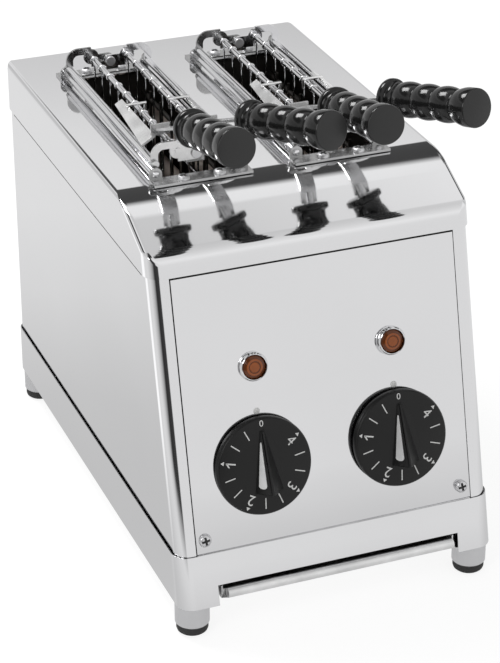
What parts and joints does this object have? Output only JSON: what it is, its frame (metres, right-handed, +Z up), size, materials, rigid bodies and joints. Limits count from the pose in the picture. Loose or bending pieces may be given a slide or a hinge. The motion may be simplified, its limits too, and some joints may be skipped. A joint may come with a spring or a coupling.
{
  "type": "sandwich toaster",
  "caption": "Counter-top sandwich toaster in polished sheet steel: wire tongs with black handles hang in deep slots, with timer knobs, lamps and a crumb tray in front.",
  "frame": {"origin": "on the counter, midway between the feet", "axes": "+X to the user's right, +Y to the back, +Z up; the control panel faces -Y"},
  "size_m": [0.205, 0.3467, 0.3181],
  "materials": {
    "polished_steel": "mirror polished stainless sheet",
    "bright_sheet": "bright stainless sheet",
    "bright_wire": "bright drawn wire",
    "turned_steel": "satin turned",
    "screw_steel": "bright",
    "chamber_steel": "heat darkened",
    "lamp_chrome": "bright",
    "amber_lens": "frosted amber",
    "black_rubber": "matte",
    "black_plastic": "matte",
    "grey_plastic": "matte",
    "knob_black": "satin moulded",
    "pointer_grey": "satin",
    "handle_black": "gloss phenolic",
    "quartz": "milky",
    "ceramic_white": "matte"
  },
  "bodies": {
    "casing": {"base_frame": "polished_steel", "side_panel_left": "polished_steel", "side_panel_right": "polished_steel", "rear_panel": "polished_steel", "front_panel": "polished_steel", "top_cover": "polished_steel", "foot_sleeves": "turned_steel", "foot_pads": "black_rubber", "panel_screws": "screw_steel", "bracket_screws": "screw_steel", "lamp_bezel_left": "lamp_chrome", "lamp_bezel_right": "lamp_chrome", "lamp_lens_left": "amber_lens", "lamp_lens_right": "amber_lens", "timer_left": "grey_plastic", "timer_right": "grey_plastic", "slot_brackets_left": "bright_sheet", "slot_brackets_right": "bright_sheet", "slot_rails_left": "bright_wire", "slot_rails_right": "bright_wire", "chamber_wall_front": "chamber_steel", "chamber_wall_back": "chamber_steel", "reflectors": "chamber_steel", "heater_tubes_left": "quartz", "heater_tubes_right": "quartz", "heater_caps_left": "ceramic_white", "heater_caps_right": "ceramic_white", "wire_guards_left": "bright_wire", "wire_guards_right": "bright_wire", "terminal_block": "ceramic_white", "cable_gland": "black_plastic"},
    "crumb_tray": {"crumb_tray": "bright_sheet"},
    "timer_knob_left": {"timer_shaft_left": "turned_steel", "knob_left": "knob_black", "knob_pointer_left": "pointer_grey"},
    "timer_knob_right": {"timer_shaft_right": "turned_steel", "knob_right": "knob_black", "knob_pointer_right": "pointer_grey"},
    "tong1_carrier": {"tong1_hinge_plates": "bright_sheet", "tong1_pivot_pins": "screw_steel"},
    "tong1_left_half": {"tong1_left_frame": "bright_wire", "tong1_left_cage": "bright_wire", "tong1_left_arm": "bright_sheet", "tong1_left_handle": "handle_black"},
    "tong1_right_half": {"tong1_right_frame": "bright_wire", "tong1_right_cage": "bright_wire", "tong1_right_arm": "bright_sheet", "tong1_right_handle": "handle_black"},
    "tong2_carrier": {"tong2_hinge_plates": "bright_sheet", "tong2_pivot_pins": "screw_steel"},
    "tong2_left_half": {"tong2_left_frame": "bright_wire", "tong2_left_cage": "bright_wire", "tong2_left_arm": "bright_sheet", "tong2_left_handle": "handle_black"},
    "tong2_right_half": {"tong2_right_frame": "bright_wire", "tong2_right_cage": "bright_wire", "tong2_right_arm": "bright_sheet", "tong2_right_handle": "handle_black"}
  },
  "joints": [
    {"name": "timer_turn_left", "type": "hinge", "parent": "casing", "child": "timer_knob_left", "pos_m": [-0.044, -0.14621, 0.09959], "axis": [0, 0.9707, -0.2402], "range_deg": [0, 300]},
    {"name": "timer_turn_right", "type": "hinge", "parent": "casing", "child": "timer_knob_right", "pos_m": [0.044, -0.14621, 0.09959], "axis": [0, 0.9707, -0.2402], "range_deg": [0, 300]},
    {"name": "crumb_tray_slide", "type": "slide", "parent": "casing", "child": "crumb_tray", "axis": [0, -1, 0], "range_m": [0, 0.25]},
    {"name": "tong1_lift", "type": "slide", "parent": "casing", "child": "tong1_carrier", "axis": [0, 0, 1], "range_m": [0, 0.13]},
    {"name": "tong1_open_left", "type": "hinge", "parent": "tong1_carrier", "child": "tong1_left_half", "pos_m": [-0.0475, 0.03175, 0.2606], "axis": [0, 1, 0], "range_deg": [0, 4.5]},
    {"name": "tong1_open_right", "type": "hinge", "parent": "tong1_carrier", "child": "tong1_right_half", "pos_m": [-0.0475, 0.03175, 0.2606], "axis": [0, 1, 0], "range_deg": [-4.5, 0]},
    {"name": "tong2_lift", "type": "slide", "parent": "casing", "child": "tong2_carrier", "axis": [0, 0, 1], "range_m": [0, 0.13]},
    {"name": "tong2_open_left", "type": "hinge", "parent": "tong2_carrier", "child": "tong2_left_half", "pos_m": [0.0415, 0.03175, 0.2606], "axis": [0, 1, 0], "range_deg": [0, 4.5]},
    {"name": "tong2_open_right", "type": "hinge", "parent": "tong2_carrier", "child": "tong2_right_half", "pos_m": [0.0415, 0.03175, 0.2606], "axis": [0, 1, 0], "range_deg": [-4.5, 0]}
  ],
  "couplings": [
    {"joint": "tong1_open_right", "follows": "tong1_open_left", "ratio": -1},
    {"joint": "tong2_open_right", "follows": "tong2_open_left", "ratio": -1}
  ]
}
